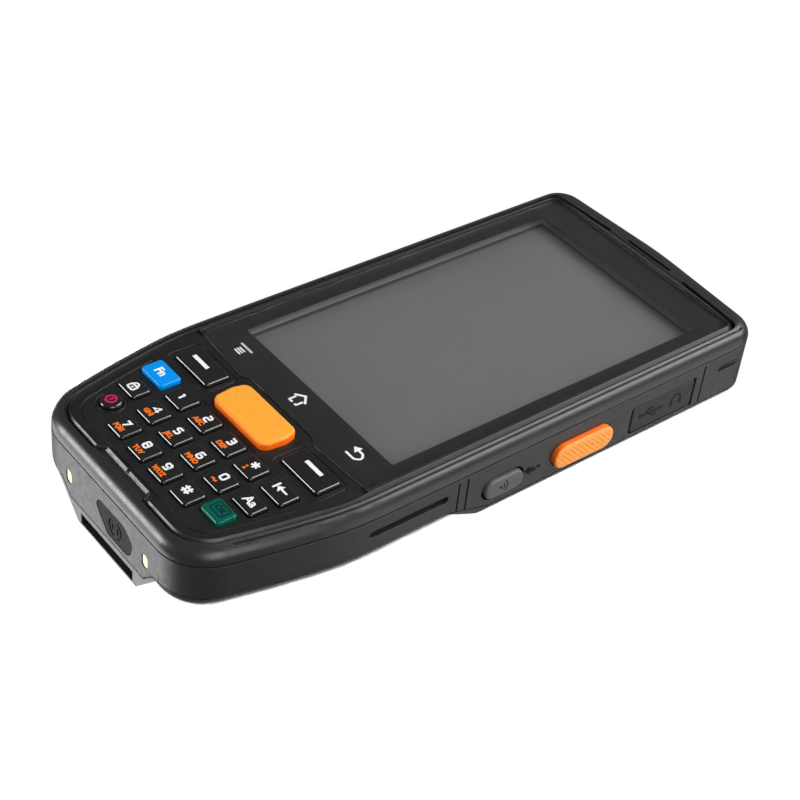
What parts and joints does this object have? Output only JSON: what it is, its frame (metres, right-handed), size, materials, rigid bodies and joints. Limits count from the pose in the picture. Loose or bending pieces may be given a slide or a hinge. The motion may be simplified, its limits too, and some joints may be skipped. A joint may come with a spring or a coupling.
{
  "type": "portable barcode data terminal",
  "caption": "Rugged hand-held data terminal with a touch display over a telephone-style keypad, side scan keys, a scan head on the back and a hinged battery cover.",
  "frame": {"origin": "middle of the bounding box at the bottom end, on the plane the terminal stands on", "axes": "+Z from the keypad end towards the scan end, screen facing -Y, +X to the user's right"},
  "size_m": [0.0722, 0.0332, 0.1541],
  "materials": {
    "battery_wrap": "film",
    "black_print": "gloss black ink",
    "board": "solder mask",
    "clear": "polished",
    "cover": "fine matte texture",
    "deck": "matte",
    "display": "unlit panel",
    "glass": "polished",
    "gloss_black": "gloss",
    "gold": "gold plated",
    "grey_key": "matte",
    "key_black": "gloss",
    "key_blue": "gloss",
    "key_orange": "satin",
    "key_teal": "gloss",
    "red_window": "polished",
    "rim": "satin",
    "rubber_black": "matte",
    "shell": "fine matte texture",
    "silicone": "matte",
    "silver": "nickel plated",
    "steel": "brushed",
    "yellow": "printed film"
  },
  "bodies": {
    "base": {"battery": "battery_wrap", "battery_contacts": "gold", "camera_frame": "shell", "camera_lamp": "clear", "camera_lens": "gloss_black", "camera_window": "gloss_black", "cap_screws": "steel", "charging_socket": "steel", "display_panel": "display", "end_contacts": "gold", "end_pad": "rubber_black", "front_housing": "rim", "glass_border": "black_print", "headphone_socket": "gloss_black", "keypad_deck": "deck", "keypad_membrane": "silicone", "label_strip": "yellow", "main_board": "board", "middle_frame": "shell", "rear_contact_base": "gloss_black", "rear_contacts": "gold", "rear_housing": "shell", "rear_screws": "steel", "scan_engine": "gloss_black", "scan_head": "shell", "scan_head_cap": "shell", "scan_window": "red_window", "sled_contacts": "silver", "speaker_cap": "shell", "strap_bar": "steel", "touch_glass": "glass"},
    "battery_cover": {"battery_cover": "cover"},
    "battery_latch": {"battery_latch": "gloss_black", "latch_bar": "silver"},
    "port_cover": {"port_cover": "rubber_black"},
    "side_scan_right": {"side_scan_right": "key_orange"},
    "side_scan_left": {"side_scan_left": "key_orange"},
    "side_key_grey": {"side_key_grey": "grey_key"},
    "volume_rocker": {"volume_rocker": "grey_key"},
    "key_scan": {"key_scan": "key_orange"},
    "key_0": {"key_0": "key_black"},
    "key_1": {"key_1": "key_black"},
    "key_2": {"key_2": "key_black"},
    "key_3": {"key_3": "key_black"},
    "key_4": {"key_4": "key_black"},
    "key_5": {"key_5": "key_black"},
    "key_6": {"key_6": "key_black"},
    "key_7": {"key_7": "key_black"},
    "key_8": {"key_8": "key_black"},
    "key_9": {"key_9": "key_black"},
    "key_back": {"key_back": "key_black"},
    "key_fn": {"key_fn": "key_blue"},
    "key_hash": {"key_hash": "key_black"},
    "key_lock": {"key_lock": "key_black"},
    "key_ok": {"key_ok": "key_teal"},
    "key_power": {"key_power": "key_black"},
    "key_shift": {"key_shift": "key_black"},
    "key_soft_left": {"key_soft_left": "key_black"},
    "key_soft_right": {"key_soft_right": "key_black"},
    "key_star": {"key_star": "key_black"}
  },
  "joints": [
    {"name": "battery_cover_hinge", "type": "hinge", "parent": "base", "child": "battery_cover", "pos_m": [0, 0.00275, 0.0127], "axis": [-1, 0, 0], "range_deg": [0, 85]},
    {"name": "battery_latch_slide", "type": "slide", "parent": "base", "child": "battery_latch", "axis": [1, 0, 0], "range_m": [0, 0.0046]},
    {"name": "port_cover_hinge", "type": "hinge", "parent": "base", "child": "port_cover", "pos_m": [0.03383, -0.00435, 0.13212], "axis": [0, -1, 0], "range_deg": [0, 90]},
    {"name": "key_scan_press", "type": "slide", "parent": "base", "child": "key_scan", "axis": [0, 1, 0], "range_m": [0, 0.0008], "stiffness_N_per_m": 300, "springref_m": -0.0005},
    {"name": "key_0_press", "type": "slide", "parent": "base", "child": "key_0", "axis": [0, 1, 0], "range_m": [0, 0.0006], "stiffness_N_per_m": 300, "springref_m": -0.0005},
    {"name": "key_1_press", "type": "slide", "parent": "base", "child": "key_1", "axis": [0, 1, 0], "range_m": [0, 0.0006], "stiffness_N_per_m": 300, "springref_m": -0.0005},
    {"name": "key_2_press", "type": "slide", "parent": "base", "child": "key_2", "axis": [0, 1, 0], "range_m": [0, 0.0006], "stiffness_N_per_m": 300, "springref_m": -0.0005},
    {"name": "key_3_press", "type": "slide", "parent": "base", "child": "key_3", "axis": [0, 1, 0], "range_m": [0, 0.0006], "stiffness_N_per_m": 300, "springref_m": -0.0005},
    {"name": "key_4_press", "type": "slide", "parent": "base", "child": "key_4", "axis": [0, 1, 0], "range_m": [0, 0.0006], "stiffness_N_per_m": 300, "springref_m": -0.0005},
    {"name": "key_5_press", "type": "slide", "parent": "base", "child": "key_5", "axis": [0, 1, 0], "range_m": [0, 0.0006], "stiffness_N_per_m": 300, "springref_m": -0.0005},
    {"name": "key_6_press", "type": "slide", "parent": "base", "child": "key_6", "axis": [0, 1, 0], "range_m": [0, 0.0006], "stiffness_N_per_m": 300, "springref_m": -0.0005},
    {"name": "key_7_press", "type": "slide", "parent": "base", "child": "key_7", "axis": [0, 1, 0], "range_m": [0, 0.0006], "stiffness_N_per_m": 300, "springref_m": -0.0005},
    {"name": "key_8_press", "type": "slide", "parent": "base", "child": "key_8", "axis": [0, 1, 0], "range_m": [0, 0.0006], "stiffness_N_per_m": 300, "springref_m": -0.0005},
    {"name": "key_9_press", "type": "slide", "parent": "base", "child": "key_9", "axis": [0, 1, 0], "range_m": [0, 0.0006], "stiffness_N_per_m": 300, "springref_m": -0.0005},
    {"name": "key_back_press", "type": "slide", "parent": "base", "child": "key_back", "axis": [0, 1, 0], "range_m": [0, 0.0006], "stiffness_N_per_m": 300, "springref_m": -0.0005},
    {"name": "key_fn_press", "type": "slide", "parent": "base", "child": "key_fn", "axis": [0, 1, 0], "range_m": [0, 0.0006], "stiffness_N_per_m": 300, "springref_m": -0.0005},
    {"name": "key_hash_press", "type": "slide", "parent": "base", "child": "key_hash", "axis": [0, 1, 0], "range_m": [0, 0.0006], "stiffness_N_per_m": 300, "springref_m": -0.0005},
    {"name": "key_lock_press", "type": "slide", "parent": "base", "child": "key_lock", "axis": [0, 1, 0], "range_m": [0, 0.0006], "stiffness_N_per_m": 300, "springref_m": -0.0005},
    {"name": "key_ok_press", "type": "slide", "parent": "base", "child": "key_ok", "axis": [0, 1, 0], "range_m": [0, 0.0006], "stiffness_N_per_m": 300, "springref_m": -0.0005},
    {"name": "key_power_press", "type": "slide", "parent": "base", "child": "key_power", "axis": [0, 1, 0], "range_m": [0, 0.0006], "stiffness_N_per_m": 300, "springref_m": -0.0005},
    {"name": "key_shift_press", "type": "slide", "parent": "base", "child": "key_shift", "axis": [0, 1, 0], "range_m": [0, 0.0006], "stiffness_N_per_m": 300, "springref_m": -0.0005},
    {"name": "key_soft_left_press", "type": "slide", "parent": "base", "child": "key_soft_left", "axis": [0, 1, 0], "range_m": [0, 0.0006], "stiffness_N_per_m": 300, "springref_m": -0.0005},
    {"name": "key_soft_right_press", "type": "slide", "parent": "base", "child": "key_soft_right", "axis": [0, 1, 0], "range_m": [0, 0.0006], "stiffness_N_per_m": 300, "springref_m": -0.0005},
    {"name": "key_star_press", "type": "slide", "parent": "base", "child": "key_star", "axis": [0, 1, 0], "range_m": [0, 0.0006], "stiffness_N_per_m": 300, "springref_m": -0.0005},
    {"name": "side_scan_right_press", "type": "slide", "parent": "base", "child": "side_scan_right", "axis": [-1, 0, 0], "range_m": [0, 0.0006], "stiffness_N_per_m": 300, "springref_m": -0.0005},
    {"name": "side_scan_left_press", "type": "slide", "parent": "base", "child": "side_scan_left", "axis": [1, 0, 0], "range_m": [0, 0.0006], "stiffness_N_per_m": 300, "springref_m": -0.0005},
    {"name": "side_key_grey_press", "type": "slide", "parent": "base", "child": "side_key_grey", "axis": [-1, 0, 0], "range_m": [0, 0.0006], "stiffness_N_per_m": 300, "springref_m": -0.0005},
    {"name": "volume_rocker_tilt", "type": "hinge", "parent": "base", "child": "volume_rocker", "pos_m": [-0.0336, -0.00465, 0.0774], "axis": [0, 1, 0], "range_deg": [-3, 3], "stiffness_Nm_per_rad": 0.02}
  ]
}
